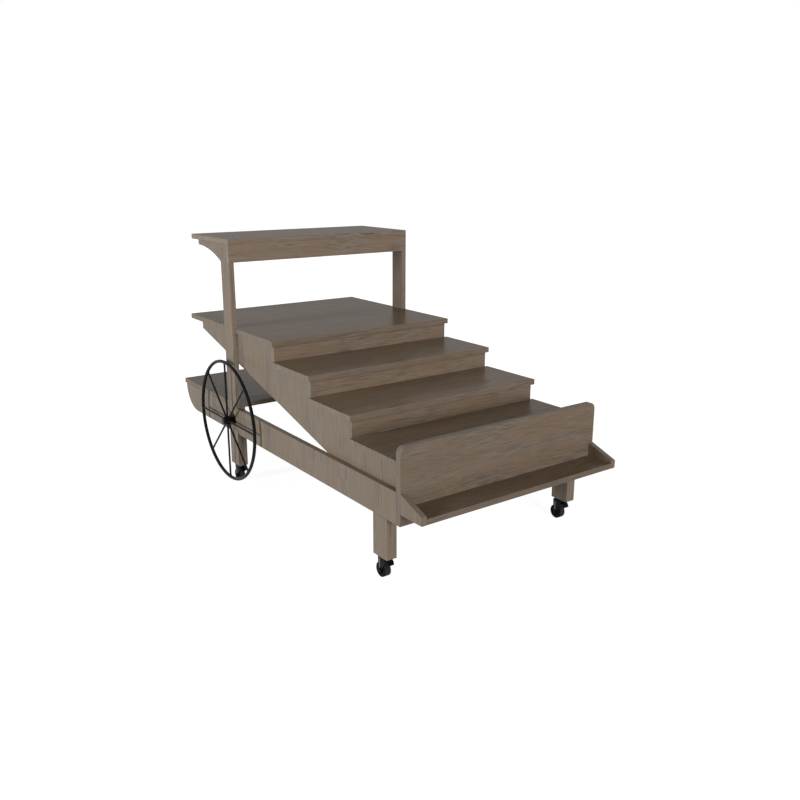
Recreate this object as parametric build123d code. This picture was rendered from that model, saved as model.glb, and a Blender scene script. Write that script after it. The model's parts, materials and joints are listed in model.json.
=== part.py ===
from build123d import *
import os
from math import atan2, cos, degrees, hypot, radians, sin

# Stepped produce display cart, in millimetres. +X is right and +Y is the rear for someone who
# faces the cart's front; +Z is up. The origin is on the floor, in the middle of length and width.

# Board thicknesses and edges
FRAME_T = 28.0  # rails, posts, outer leg planks and front board
SIDE_T = 22.0  # stringers and inner leg blocks
SHELF_T = 25.0  # deck, treads, shelves and tray
RISER_T = 18.0  # risers, fascia and cross boards
EDGE_R = 1.5  # eased edge of a board
NOSE_R = 3.0  # upper front edge of deck and treads

# Widths
FRAME_W = 1080.0  # over the outer faces of the side frames
END_OVERHANG = 14.0  # deck and treads past the stringers

# Heights
CASTER_H = 102.0  # floor to the underside of the legs
LEG_DROP = 179.0  # underside of the legs to the underside of the rails
RAIL_H = 136.0
FIRST_RISE = 119.0  # rail top to the top of the lowest tread
STEP_RISE = 99.0
POST_RISE = 441.0  # deck top to top shelf top
FASCIA_H = 89.0
FRONT_BOARD_H = 323.0
FRONT_CORNER_R = 32.0
TRAY_LIFT = 51.0  # underside of the front board to the underside of the tray
CHEEK_H = 85.0  # tray cheek at the front board
CHEEK_FRONT_H = 36.0
CROSS_H = 90.0  # deck bearer and rear cross rail

# Depths along Y
TRAY_DEPTH = 135.0
FIRST_GOING = 350.0  # front board to the lowest riser
STEP_GOING = 332.0
NOSING = 10.0  # deck and treads past the riser below
DECK_DEPTH = 952.0
POST_SETBACK = 390.0  # top riser to the front of the posts
POST_W = 92.0
AXLE_SETBACK = 42.5  # front of the posts to the cart wheels' axles
RAIL_TAIL = 563.0  # rail behind the posts
SHELF_OVERHANG = 20.0  # lower shelf past the rails' rear ends
TOP_SHELF_DEPTH = 445.0
FRONT_LEG_SETBACK = 62.0  # front board to the front legs
FRONT_LEG_W = 96.0

# Stringer outline
STRINGER_FOOT = 550.0  # front board to where the slanting edge meets the rail top
STRINGER_TAIL_GAP = 117.0  # rear edge of the deck to the stringer's rear end
STRINGER_TAIL_H = 40.0

# Bracket under the top shelf
BRACKET_REACH = 265.0
BRACKET_TIP_H = 25.0
BRACKET_ROOT_H = 90.0

# Screws
SCREW_R = 2.5
SCREW_HEAD_R = 5.0
SCREW_HEAD_H = 3.0
SCREW_BITE = 18.0  # side screw in the rail or post
SCREW_CLEAR = 0.1
RAIL_SCREW_FRONT = 28.0  # front board to the first screw in a rail
RAIL_SCREW_MIDDLE = 250.0
RAIL_SCREW_REAR = 400.0
RAIL_SCREW_DROP = 22.0  # rail top to those screws
POST_SCREW_UPPER = 38.0  # deck underside to the screws in a post
POST_SCREW_LOWER = 108.0

# Caster
CASTER_INSET = 32.0  # leg's outer face to the swivel axis
PLATE_W = 36.0
PLATE_L = 60.0
PLATE_T = 3.0
PLATE_HOLE_W = 24.0
PLATE_HOLE_L = 48.0
PLATE_SCREW_R = 2.0
PLATE_SCREW_HEAD_R = 4.0
PLATE_SCREW_HEAD_H = 2.4
PLATE_SCREW_BITE = 26.0
RACE_R = 16.0
RACE_H = 3.0
KING_R = 5.0
KING_HEAD_R = 8.0
KING_HEAD_H = 3.0
WHEEL_D = 65.0
WHEEL_W = 30.0
TYRE_T = 8.5
TYRE_SHOULDER_R = 4.0
HUB_R = 9.0
DISH_R = 20.0  # outer radius of the recess in each side of the wheel
DISH_DEPTH = 6.0
TRAIL = 20.0  # swivel axis to wheel axle
FORK_T = 2.5
FORK_FRONT = 16.0
FORK_REAR = 34.0
FORK_FRONT_DROP = 20.0  # front lower corner of the fork cheeks below the web
FORK_BOSS_R = 10.0
FORK_BEND_R = 2.0
TYRE_SIDE_GAP = 1.5
AXLE_R = 4.0
AXLE_HEAD_R = 7.0
AXLE_HEAD_H = 4.0
RUN_CLEAR = 0.05  # radial clearance of a running fit
FACE_CLEAR = 0.3  # clearance between faces that turn past each other

# Brake pedal
PEDAL_BACK = 8.0  # pedal pin in front of the swivel axis
PEDAL_DROP = 12.0  # pedal pin below the fork's web
PEDAL_SIDE_GAP = 0.6
PEDAL_T = 4.0
PEDAL_ARM = 15.0
PEDAL_ARM_RISE = 2.0
PEDAL_TOE = 12.0
PEDAL_TOE_ANGLE = 55.0
PEDAL_BARREL_R = 5.0
PEDAL_PIN_R = 2.5
PEDAL_PIN_HEAD_R = 4.0
PEDAL_PIN_HEAD_H = 1.5
PEDAL_TRAVEL = 15.0  # degrees from free to braked
SHOE_T = 5.0
SHOE_GAP = 0.4  # shoe to tyre when braked

# Cart wheels
RIM_R = 309.5  # middle of the rim bar
RIM_BAR_D = 17.0
RIM_CLEAR = 1.85  # rim to the sweep of the rear casters
SPOKE_COUNT = 8
SPOKE_D = 10.0
CART_HUB_R = 23.0
CART_HUB_L = 36.0
CART_AXLE_R = 10.0
CART_COLLAR_R = 15.0
CART_FLANGE_R = 30.0
CART_FLANGE_T = 6.0
CART_BOLT_R = 8.0
CART_NUT_R = 14.0
CART_NUT_T = 10.0
CART_CAP_R = 18.0
CART_CAP_T = 8.0
CART_CAP_EDGE_R = 5.0

# Planes across X, for the right-hand side
x_outer = FRAME_W / 2
x_side = x_outer - FRAME_T  # stringer's outer face, rail's and post's inner face
x_inner = x_side - SIDE_T
x_lap = x_outer - FRAME_T / 2  # middle plane of the half-lap joints
x_board = x_side + END_OVERHANG  # ends of deck and treads

# Planes along Y
rear_reach = FRAME_T + FIRST_GOING + 2 * STEP_GOING + POST_SETBACK + POST_W + RAIL_TAIL + SHELF_OVERHANG
y_front = (TRAY_DEPTH - rear_reach) / 2  # front face of the front board
y_back = y_front + FRAME_T
y_risers = [y_back + FIRST_GOING + step * STEP_GOING for step in range(3)]
y_deck_0 = y_risers[2] - NOSING
y_deck_1 = y_deck_0 + DECK_DEPTH
y_post_0 = y_risers[2] + POST_SETBACK
y_post_1 = y_post_0 + POST_W
y_rail_1 = y_post_1 + RAIL_TAIL
y_leg_0 = y_back + FRONT_LEG_SETBACK
y_leg_1 = y_leg_0 + FRONT_LEG_W
y_foot = y_back + STRINGER_FOOT
y_tail = y_deck_1 - STRINGER_TAIL_GAP

# Planes along Z
z_rail_0 = CASTER_H + LEG_DROP
z_rail_1 = z_rail_0 + RAIL_H
z_treads = [z_rail_1 + FIRST_RISE + step * STEP_RISE for step in range(3)]
z_deck = z_treads[2] + STEP_RISE
z_under_deck = z_deck - SHELF_T
z_top = z_deck + POST_RISE
z_under_top = z_top - SHELF_T
z_tail = z_under_deck - STRINGER_TAIL_H
slant = (z_tail - z_rail_1) / (y_tail - y_foot)
z_stringer = z_rail_1 - (y_foot - y_leg_1) * slant  # stringer's lower edge over the front leg
z_tray = z_rail_0 + TRAY_LIFT

# Fascia under the top shelf, let into the fronts of the posts
fascia_y = (y_post_0, y_post_0 + RISER_T)
fascia_z = (z_under_top - FASCIA_H, z_under_top)

# Casters and cart wheels
wheel_r = WHEEL_D / 2
x_caster = x_outer - CASTER_INSET
y_casters = {"front": (y_leg_0 + y_leg_1) / 2, "rear": (y_post_0 + y_post_1) / 2}
caster_sweep = hypot(TRAIL + wheel_r, WHEEL_W / 2)
x_rim = x_caster + caster_sweep + RIM_CLEAR + RIM_BAR_D / 2
y_rim = y_post_0 + AXLE_SETBACK
z_rim = z_rail_0 + RAIL_H / 2

SIDES = {"left": -1, "right": 1}
CUT_OVER = 1.0  # how far a cutting tool runs past the face it leaves
nodes = {}


def board(x_span, y_span, z_span):
    """Plain board between two planes on each axis."""
    size = [high - low for low, high in (x_span, y_span, z_span)]
    middle = [(low + high) / 2 for low, high in (x_span, y_span, z_span)]
    return Pos(*middle) * Box(*size)


def across(side, inner, outer):
    """X span between two distances from the middle, on one side of the cart."""
    return tuple(sorted((side * inner, side * outer)))


def side_panel(outline, x_span):
    """Flat panel of an outline drawn in Y and Z, standing between two X planes."""
    face = make_face(Plane.YZ.offset(x_span[0]) * outline)
    return extrude(face, amount=x_span[1] - x_span[0], dir=(1, 0, 0))


def rod(start, end, radius):
    """Round bar from one point to another."""
    start, end = Vector(*start), Vector(*end)
    plane = Plane(origin=start, z_dir=(end - start).normalized())
    return extrude(plane * Circle(radius), amount=(end - start).length)


def eased(shape):
    """Board with all its edges eased."""
    return fillet(shape.edges(), EDGE_R)


def eased_panel(shape):
    """Side panel with the edges of its two large faces eased."""
    return fillet(shape.faces().filter_by(Axis.X).edges(), EDGE_R)


def eased_uprights(shape, x_face):
    """Leg piece with its upright edges on one X face eased."""
    edges = shape.edges().filter_by(Axis.Z)
    return fillet([edge for edge in edges if abs(edge.center().X - x_face) < EDGE_R], EDGE_R)


def step_board(y_span, z_top_face):
    """Deck or tread: eased board with a rounder upper front edge."""
    blank = board((-x_board, x_board), y_span, (z_top_face - SHELF_T, z_top_face))
    nose = blank.edges().filter_by(Axis.X).sort_by(Axis.Z)[-2:].sort_by(Axis.Y)[0]
    blank = fillet(nose, NOSE_R)
    y_past_nose = y_span[0] + NOSE_R + EDGE_R
    rest = [edge for edge in blank.edges().filter_by(Axis.X) if edge.center().Y > y_past_nose]
    return fillet(rest, EDGE_R)


def caster_screw_spots(x, y):
    """Screw places in one caster plate."""
    return [(x + i * PLATE_HOLE_W / 2, y + j * PLATE_HOLE_L / 2) for i in (-1, 1) for j in (-1, 1)]


def drill_for_caster(shape, side, end):
    """Pilot holes for the caster screws in a leg piece."""
    for x, y in caster_screw_spots(side * x_caster, y_casters[end]):
        shape -= rod((x, y, CASTER_H - CUT_OVER), (x, y, CASTER_H + PLATE_SCREW_BITE), PLATE_SCREW_R)
    return shape


def side_screw_spots():
    """Screws from a stringer: some into the rail, the others into the post."""
    steps = (RAIL_SCREW_FRONT, RAIL_SCREW_MIDDLE, RAIL_SCREW_REAR)
    spots = [(y_back + step, z_rail_1 - RAIL_SCREW_DROP) for step in steps]
    drops = (POST_SCREW_UPPER, POST_SCREW_LOWER)
    return spots + [(y_casters["rear"], z_under_deck - drop) for drop in drops]


def drill_for_side_screws(shape, side):
    """Holes for the side screws through a stringer and into what is behind it."""
    for y, z in side_screw_spots():
        tip = side * (x_side + SCREW_BITE + SCREW_CLEAR)
        shape -= rod((side * (x_inner - CUT_OVER), y, z), (tip, y, z), SCREW_R + SCREW_CLEAR)
    return shape


def drill_for_cart_axle(shape, side):
    """Through hole for the bolt end of a cart wheel's axle."""
    start = (side * (x_inner - CUT_OVER), y_rim, z_rim)
    end = (side * (x_outer + CUT_OVER), y_rim, z_rim)
    return shape - rod(start, end, CART_BOLT_R + SCREW_CLEAR)


def make_side_frame(name, side):
    """Rail, post, leg planks and stringer of one side, half-lapped flush in one plane."""
    frame_span = across(side, x_side, x_outer)
    outer_half = across(side, x_lap, x_outer)
    inner_half = across(side, x_side, x_lap)
    rail_z = (z_rail_0, z_rail_1)
    post_y = (y_post_0, y_post_1)
    leg_y = (y_leg_0, y_leg_1)

    outline = Polyline((y_rail_1, z_rail_1), (y_back, z_rail_1), (y_back, z_rail_0),
                       (y_rail_1 - RAIL_H, z_rail_0))
    outline += TangentArc((y_rail_1 - RAIL_H, z_rail_0), (y_rail_1, z_rail_1), tangent=(1, 0))
    rail = eased_panel(side_panel(outline, frame_span))
    rail -= board(outer_half, post_y, rail_z)
    rail -= board(inner_half, leg_y, rail_z)
    rail = drill_for_side_screws(rail, side)
    nodes[f"side_rail_{name}"] = drill_for_cart_axle(rail, side)

    root = (y_post_1, z_under_top - BRACKET_ROOT_H)
    tip = (y_post_1 + BRACKET_REACH, z_under_top - BRACKET_TIP_H)
    outline = Polyline(root, (y_post_1, CASTER_H), (y_post_0, CASTER_H), (y_post_0, z_under_top),
                       (tip[0], z_under_top), tip)
    outline += TangentArc(tip, root, tangent=(-1, 0))
    post = eased_panel(side_panel(outline, frame_span))
    post -= board(inner_half, post_y, rail_z)
    post -= board(frame_span, fascia_y, fascia_z)
    post = drill_for_caster(drill_for_side_screws(post, side), side, "rear")
    nodes[f"rear_post_{name}"] = drill_for_cart_axle(post, side)

    leg = eased_uprights(board(frame_span, leg_y, (CASTER_H, z_rail_1)), side * x_outer)
    leg -= board(outer_half, leg_y, rail_z)
    nodes[f"front_leg_{name}"] = drill_for_caster(leg, side, "front")

    block_span = across(side, x_inner, x_side)
    block = eased_uprights(board(block_span, leg_y, (CASTER_H, z_stringer)), side * x_inner)
    nodes[f"front_leg_block_{name}"] = drill_for_caster(block, side, "front")
    block = eased_uprights(board(block_span, post_y, (CASTER_H, z_rail_1)), side * x_inner)
    block = drill_for_caster(block, side, "rear")
    nodes[f"rear_leg_block_{name}"] = drill_for_cart_axle(block, side)

    corners = [(y_back, z_stringer)]
    floor_z = z_treads[0] - SHELF_T
    for step, face in enumerate(y_risers):
        corners.append((corners[-1][0], floor_z + step * STEP_RISE))
        corners.append((face + RISER_T, floor_z + step * STEP_RISE))
    corners += [(corners[-1][0], z_under_deck), (y_tail, z_under_deck)]
    corners += [(y_tail, z_tail), (y_leg_1, z_stringer)]
    stringer = side_panel(Polyline(*corners, close=True), block_span)
    nodes[f"stringer_{name}"] = drill_for_side_screws(stringer, side)


def make_steps():
    """Deck, treads and the risers between them."""
    deck = step_board((y_deck_0, y_deck_1), z_deck)
    for side in SIDES.values():
        deck -= board(across(side, x_side, x_outer), (y_post_0, y_post_1), (z_under_deck, z_deck))
    nodes["top_deck"] = deck

    names = ("lower", "middle", "upper")
    y_fronts = [y_back] + [face - NOSING for face in y_risers[:2]]
    z_heads = [level - SHELF_T for level in z_treads[1:]] + [z_under_deck]
    for name, y_0, y_1, level, head in zip(names, y_fronts, y_risers, z_treads, z_heads):
        if name == "lower":
            tread = board((-x_board, x_board), (y_0, y_1), (level - SHELF_T, level))
        else:
            tread = step_board((y_0, y_1), level)
        nodes[f"tread_{name}"] = tread
        nodes[f"riser_{name}"] = board((-x_side, x_side), (y_1, y_1 + RISER_T), (level - SHELF_T, head))


def make_front():
    """Front board with rounded upper corners, and the tray in front of it."""
    front = board((-x_outer, x_outer), (y_front, y_back), (z_rail_0, z_rail_0 + FRONT_BOARD_H))
    front = fillet(front.edges().filter_by(Axis.Y).sort_by(Axis.Z)[-2:], FRONT_CORNER_R)
    nodes["front_board"] = fillet(front.faces().sort_by(Axis.Y)[0].edges(), EDGE_R)

    x_cheek = x_outer - SHELF_T
    y_lip = y_front - TRAY_DEPTH
    floor = board((-x_cheek, x_cheek), (y_lip, y_front), (z_tray, z_tray + SHELF_T))
    nodes["tray_floor"] = fillet(floor.edges().filter_by(Axis.X).sort_by(Axis.Y)[:2], EDGE_R)
    for name, side in SIDES.items():
        outline = Polyline((y_front, z_tray), (y_lip, z_tray), (y_lip, z_tray + CHEEK_FRONT_H),
                           (y_front, z_tray + CHEEK_H), close=True)
        nodes[f"tray_cheek_{name}"] = eased_panel(side_panel(outline, across(side, x_cheek, x_outer)))


def make_shelves():
    """Lower shelf on the rails' tails, top shelf on the posts, and the cross boards."""
    lower = eased(board((-x_outer, x_outer), (y_post_0, y_rail_1 + SHELF_OVERHANG),
                        (z_rail_1, z_rail_1 + SHELF_T)))
    for side in SIDES.values():
        lower -= board(across(side, x_side, x_outer + CUT_OVER), (y_post_0 - CUT_OVER, y_post_1),
                       (z_rail_1, z_rail_1 + SHELF_T))
    nodes["lower_shelf"] = lower

    nodes["top_shelf"] = eased(board((-x_outer, x_outer), (y_post_0, y_post_0 + TOP_SHELF_DEPTH),
                                     (z_under_top, z_top)))
    fascia = board((-x_outer, x_outer), fascia_y, fascia_z)
    nodes["top_fascia"] = fillet(fascia.faces().sort_by(Axis.Y)[0].edges(), EDGE_R)
    nodes["deck_bearer"] = board((-x_inner, x_inner), (y_post_0, y_post_0 + RISER_T),
                                 (z_under_deck - CROSS_H, z_under_deck))
    y_cross = y_rail_1 - RAIL_H
    nodes["rear_cross_rail"] = board((-x_side, x_side), (y_cross, y_cross + RISER_T),
                                     (z_rail_1 - CROSS_H, z_rail_1))


def make_screws():
    """Side screws and caster screws, each kind one group of separate solids."""
    side_screws = []
    caster_screws = []
    z_plate = CASTER_H - PLATE_T
    for side in SIDES.values():
        for y, z in side_screw_spots():
            seat = side * x_inner
            head = rod((seat, y, z), (seat - side * SCREW_HEAD_H, y, z), SCREW_HEAD_R)
            side_screws.append(head + rod((seat, y, z), (side * (x_side + SCREW_BITE), y, z), SCREW_R))
        for y_caster in y_casters.values():
            for x, y in caster_screw_spots(side * x_caster, y_caster):
                head = rod((x, y, z_plate), (x, y, z_plate - PLATE_SCREW_HEAD_H), PLATE_SCREW_HEAD_R)
                tip = CASTER_H + PLATE_SCREW_BITE - SCREW_CLEAR
                caster_screws.append(head + rod((x, y, z_plate), (x, y, tip), PLATE_SCREW_R - SCREW_CLEAR))
    nodes["side_screws"] = Compound(children=side_screws)
    nodes["caster_screws"] = Compound(children=caster_screws)


def make_caster(name, x, y):
    """Swivel caster with its swivel axis at one place on the floor plan; it trails towards the rear."""
    place = Pos(x, y, 0)
    z_plate = CASTER_H - PLATE_T
    z_race = z_plate - RACE_H
    z_web_1 = z_race - FACE_CLEAR
    z_web_0 = z_web_1 - FORK_T
    cheek_in = WHEEL_W / 2 + TYRE_SIDE_GAP
    cheek_out = cheek_in + FORK_T
    axle = (TRAIL, wheel_r)
    pivot = (-PEDAL_BACK, z_web_0 - PEDAL_DROP)

    def cross_rod(spot, half_length, radius):
        """Bar along X through a spot given in Y and Z."""
        return rod((-half_length, *spot), (half_length, *spot), radius)

    plate = board((-PLATE_W / 2, PLATE_W / 2), (-PLATE_L / 2, PLATE_L / 2), (z_plate, CASTER_H))
    plate = fillet(plate.edges().filter_by(Axis.Z), PLATE_T)
    for hole_x, hole_y in caster_screw_spots(0, 0):
        plate -= rod((hole_x, hole_y, z_plate - CUT_OVER), (hole_x, hole_y, CASTER_H + CUT_OVER),
                     PLATE_SCREW_R + SCREW_CLEAR)
    king_foot = z_web_0 - FACE_CLEAR
    plate += rod((0, 0, z_race), (0, 0, z_plate), RACE_R)
    plate += rod((0, 0, king_foot), (0, 0, z_race), KING_R)
    plate += rod((0, 0, king_foot - KING_HEAD_H), (0, 0, king_foot), KING_HEAD_R)
    nodes[f"caster_plate_{name}"] = place * plate

    fork = board((-cheek_out, cheek_out), (-FORK_FRONT, FORK_REAR), (z_web_0, z_web_1))
    outline = Polyline((-FORK_FRONT, z_web_1), (FORK_REAR, z_web_1), (TRAIL + FORK_BOSS_R, wheel_r),
                       (TRAIL - FORK_BOSS_R, wheel_r), (-FORK_FRONT, z_web_0 - FORK_FRONT_DROP), close=True)
    for cheek_x in ((-cheek_out, -cheek_in), (cheek_in, cheek_out)):
        fork += side_panel(outline, cheek_x)
        fork += rod((cheek_x[0], *axle), (cheek_x[1], *axle), FORK_BOSS_R)
    bends = [edge for edge in fork.edges().filter_by(Axis.Y) if edge.center().Z > z_web_1 - FACE_CLEAR]
    fork = fillet(bends, FORK_BEND_R)
    fork -= rod((0, 0, z_web_0 - CUT_OVER), (0, 0, z_web_1 + CUT_OVER), KING_R + RUN_CLEAR)
    fork -= cross_rod(axle, cheek_out + CUT_OVER, AXLE_R + RUN_CLEAR)
    fork -= cross_rod(pivot, cheek_out + CUT_OVER, PEDAL_PIN_R + RUN_CLEAR)
    nodes[f"caster_fork_{name}"] = place * fork

    bolt = cross_rod(axle, cheek_out, AXLE_R)
    pin = cross_rod(pivot, cheek_out, PEDAL_PIN_R)
    for end in (-1, 1):
        head_plane = Plane(origin=(end * cheek_out, *axle), z_dir=(end, 0, 0))
        bolt += extrude(head_plane * RegularPolygon(AXLE_HEAD_R, 6), amount=AXLE_HEAD_H)
        head_end = end * (cheek_out + PEDAL_PIN_HEAD_H)
        pin += rod((end * cheek_out, *pivot), (head_end, *pivot), PEDAL_PIN_HEAD_R)
    nodes[f"caster_pins_{name}"] = Compound(children=[place * bolt, place * pin])

    core_r = wheel_r - TYRE_T
    core = cross_rod(axle, WHEEL_W / 2, core_r)
    for end in (-1, 1):
        face = end * WHEEL_W / 2
        dish = rod((face, *axle), (face - end * DISH_DEPTH, *axle), DISH_R)
        core -= dish - cross_rod(axle, WHEEL_W, HUB_R)
    core += cross_rod(axle, cheek_in - FACE_CLEAR, HUB_R)
    core -= cross_rod(axle, WHEEL_W, AXLE_R + RUN_CLEAR)
    nodes[f"caster_wheel_{name}"] = place * core

    tyre = cross_rod(axle, WHEEL_W / 2, wheel_r)
    tyre = fillet(tyre.edges().filter_by(GeomType.CIRCLE), TYRE_SHOULDER_R)
    nodes[f"caster_tyre_{name}"] = place * (tyre - cross_rod(axle, WHEEL_W, core_r))

    nodes[f"brake_pedal_{name}"] = place * make_pedal(pivot, axle, cheek_in - PEDAL_SIDE_GAP)


def make_pedal(pivot, axle, half_width):
    """Foot pedal on its pin, with a shoe that turns towards the tyre as the pedal goes down."""
    def bar(start, end, thickness):
        """Flat bar from one spot to another in Y and Z, as wide as the pedal."""
        length = hypot(end[0] - start[0], end[1] - start[1])
        tilt = degrees(atan2(end[1] - start[1], end[0] - start[0]))
        middle = Pos(0, (start[0] + end[0]) / 2, (start[1] + end[1]) / 2)
        return middle * Rot(tilt, 0, 0) * Box(2 * half_width, length, thickness)

    knee = (pivot[0] - PEDAL_ARM, pivot[1] + PEDAL_ARM_RISE)
    toe_tilt = radians(PEDAL_TOE_ANGLE)
    toe = (knee[0] - PEDAL_TOE * cos(toe_tilt), knee[1] - PEDAL_TOE * sin(toe_tilt))
    towards_axle = atan2(axle[1] - pivot[1], axle[0] - pivot[0]) - radians(PEDAL_TRAVEL)
    reach = hypot(axle[0] - pivot[0], axle[1] - pivot[1]) - wheel_r - SHOE_GAP
    shoe = (pivot[0] + reach * cos(towards_axle), pivot[1] + reach * sin(towards_axle))

    pedal = rod((-half_width, *pivot), (half_width, *pivot), PEDAL_BARREL_R)
    pedal += bar(pivot, knee, PEDAL_T)
    pedal += rod((-half_width, *knee), (half_width, *knee), PEDAL_T / 2)
    pedal += bar(knee, toe, PEDAL_T)
    pedal += bar(pivot, shoe, SHOE_T)
    bore_half = half_width + CUT_OVER
    return pedal - rod((-bore_half, *pivot), (bore_half, *pivot), PEDAL_PIN_R + RUN_CLEAR)


def make_cart_wheel(name, side):
    """Large barred wheel that turns freely on a stub axle bolted through the post."""
    hub_in = x_rim - CART_HUB_L / 2
    hub_out = x_rim + CART_HUB_L / 2

    def along(start, end, radius):
        """Bar on the wheel's own axis between two distances from the middle."""
        return rod((side * start, y_rim, z_rim), (side * end, y_rim, z_rim), radius)

    plane = Plane(origin=(side * x_rim, y_rim, z_rim), z_dir=(1, 0, 0))
    rim = plane * Torus(RIM_R, RIM_BAR_D / 2)
    nodes[f"cart_wheel_rim_{name}"] = rim

    spokes = along(hub_in, hub_out, CART_HUB_R)
    spokes = fillet(spokes.edges().filter_by(GeomType.CIRCLE), EDGE_R)
    for spoke in range(SPOKE_COUNT):
        angle = radians(360 / SPOKE_COUNT * spoke)
        end = (side * x_rim, y_rim + RIM_R * cos(angle), z_rim + RIM_R * sin(angle))
        spokes += rod((side * x_rim, y_rim, z_rim), end, SPOKE_D / 2)
    spokes -= along(hub_in - CUT_OVER, hub_out + CUT_OVER, CART_AXLE_R + RUN_CLEAR)
    nodes[f"cart_wheel_spokes_{name}"] = spokes - rim

    cap_seat = hub_out + FACE_CLEAR
    axle = along(x_outer, x_outer + CART_FLANGE_T, CART_FLANGE_R)
    axle += along(x_outer, hub_in - FACE_CLEAR, CART_COLLAR_R)
    axle += along(x_outer, cap_seat, CART_AXLE_R)
    axle += along(x_inner - CART_NUT_T, x_outer, CART_BOLT_R)
    nut_plane = Plane(origin=(side * x_inner, y_rim, z_rim), z_dir=(-side, 0, 0))
    nut = extrude(nut_plane * RegularPolygon(CART_NUT_R, 6), amount=CART_NUT_T)
    nut -= along(x_inner - CART_NUT_T - CUT_OVER, x_outer, CART_BOLT_R + RUN_CLEAR)
    cap = along(cap_seat, cap_seat + CART_CAP_T, CART_CAP_R)
    rim_edge = cap.edges().filter_by(GeomType.CIRCLE).sort_by(Axis.X)
    cap = fillet(rim_edge[-1] if side > 0 else rim_edge[0], CART_CAP_EDGE_R)
    nodes[f"cart_axle_{name}"] = Compound(children=[axle, nut, cap])


def main():
    """Build every piece and write one file per node."""
    for name, side in SIDES.items():
        make_side_frame(name, side)
        make_cart_wheel(name, side)
        for end, y in y_casters.items():
            make_caster(f"{end}_{name}", side * x_caster, y)
    make_steps()
    make_front()
    make_shelves()
    make_screws()
    os.makedirs("parts", exist_ok=True)
    for name, shape in nodes.items():
        export_step(shape, f"parts/{name}.step")


main()
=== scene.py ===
import json
import math

import bpy
import numpy as np
from mathutils import Matrix, Vector


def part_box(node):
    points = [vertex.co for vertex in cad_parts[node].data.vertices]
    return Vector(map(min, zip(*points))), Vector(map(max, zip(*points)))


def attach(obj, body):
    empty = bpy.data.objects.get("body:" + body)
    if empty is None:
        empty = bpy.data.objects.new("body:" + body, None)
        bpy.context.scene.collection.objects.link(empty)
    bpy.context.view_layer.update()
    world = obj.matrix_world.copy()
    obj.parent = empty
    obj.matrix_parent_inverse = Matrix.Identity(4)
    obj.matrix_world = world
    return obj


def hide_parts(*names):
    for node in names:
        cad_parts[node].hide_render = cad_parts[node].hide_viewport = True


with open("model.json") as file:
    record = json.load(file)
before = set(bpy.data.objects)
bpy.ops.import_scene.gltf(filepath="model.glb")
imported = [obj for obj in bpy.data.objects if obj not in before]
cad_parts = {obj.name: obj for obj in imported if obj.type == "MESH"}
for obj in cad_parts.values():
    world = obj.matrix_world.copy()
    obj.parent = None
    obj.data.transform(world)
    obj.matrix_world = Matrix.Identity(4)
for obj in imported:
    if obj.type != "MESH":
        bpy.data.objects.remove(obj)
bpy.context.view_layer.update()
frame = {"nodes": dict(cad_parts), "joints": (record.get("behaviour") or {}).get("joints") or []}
nodes = frame["nodes"]
pivots = {joint["name"]: np.array(joint["pos_m"]) for joint in frame["joints"]}
CASTERS = ("front_left", "front_right", "rear_left", "rear_right")
SIDES = ("left", "right")
X_AXIS = (1.0, 0.0, 0.0)
FULL_TURN = 2.0 * math.pi
WHITE = (1.0, 1.0, 1.0, 1.0)

# Camera at the photograph's viewing angle, in metres and degrees
CAMERA_PLACE = (-2.2767, -3.3703, 1.6215)
CAMERA_AZIMUTH = -36.05
CAMERA_ELEVATION = 15.73
CAMERA_ROLL = 0.10
SENSOR_MM = 36.0
LENS_MM = 37.447

# Soft square lamps, none of which shows in a reflection: place and side in metres, power in watts, colour
LAMPS = {
    "left_softbox": {"place": (-9.0, 0.5, 2.15), "size": 2.2, "power": 755.0, "colour": "#EFF9FF"},
    "front_high_softbox": {"place": (-0.85, -6.07, 5.74), "size": 2.0, "power": 72.0, "colour": "#FFFFFF"},
    "front_left_softbox": {"place": (-12.14, -10.19, 2.83), "size": 3.0, "power": 220.0, "colour": "#FFFFFF"},
    "front_softbox": {"place": (-2.19, -15.55, 3.65), "size": 5.0, "power": 1490.0, "colour": "#FFFFFF"},
    "right_fill": {"place": (15.93, 1.39, 1.02), "size": 2.0, "power": 1500.0, "colour": "#FFFFFF"},
    "rear_fill": {"place": (0.56, 15.98, 1.02), "size": 2.0, "power": 1300.0, "colour": "#FFFFFF"},
}
LAMP_AIM = (0.0, 0.0, 0.6)
AMBIENT = 0.03  # world light that reaches the object
FLOOR_COLOUR = "#9A9A9A"
FLOOR_HALF = 30.0
FLOOR_LIFT_NEAR = 0.90  # white that the floor adds for the camera, so that only shadows darken it
FLOOR_NEAR = 1.2
FLOOR_FAR = 2.6  # from here on the floor is as white as the background

# Sockets of the Mix node, whose vector and colour sockets share their names
VECTOR_A, VECTOR_B, VECTOR_OUT = 4, 5, 1
COLOUR_A, COLOUR_B, COLOUR_OUT = 6, 7, 2


def linear(code):
    """sRGB hex code to a linear colour with alpha."""
    parts = [int(code[i:i + 2], 16) / 255 for i in (1, 3, 5)]
    return [p / 12.92 if p <= 0.04045 else ((p + 0.055) / 1.055) ** 2.4 for p in parts] + [1.0]


def add(tree, kind, inputs=None, **settings):
    """Adds a node with its settings; inputs are values or other nodes' sockets, by name or number."""
    made = tree.nodes.new("ShaderNode" + kind)
    for name, value in settings.items():
        setattr(made, name, value)
    for name, value in (inputs or {}).items():
        if isinstance(value, bpy.types.NodeSocket):
            tree.links.new(value, made.inputs[name])
        else:
            made.inputs[name].default_value = value
    return made


def new_material(name):
    """Empty node material with its surface shader, ready for links."""
    material = bpy.data.materials.new(name)
    material.use_nodes = True
    tree = material.node_tree
    tree.nodes.clear()
    shader = add(tree, "BsdfPrincipled")
    add(tree, "OutputMaterial", {"Surface": shader.outputs["BSDF"]})
    return material, tree, shader


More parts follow.
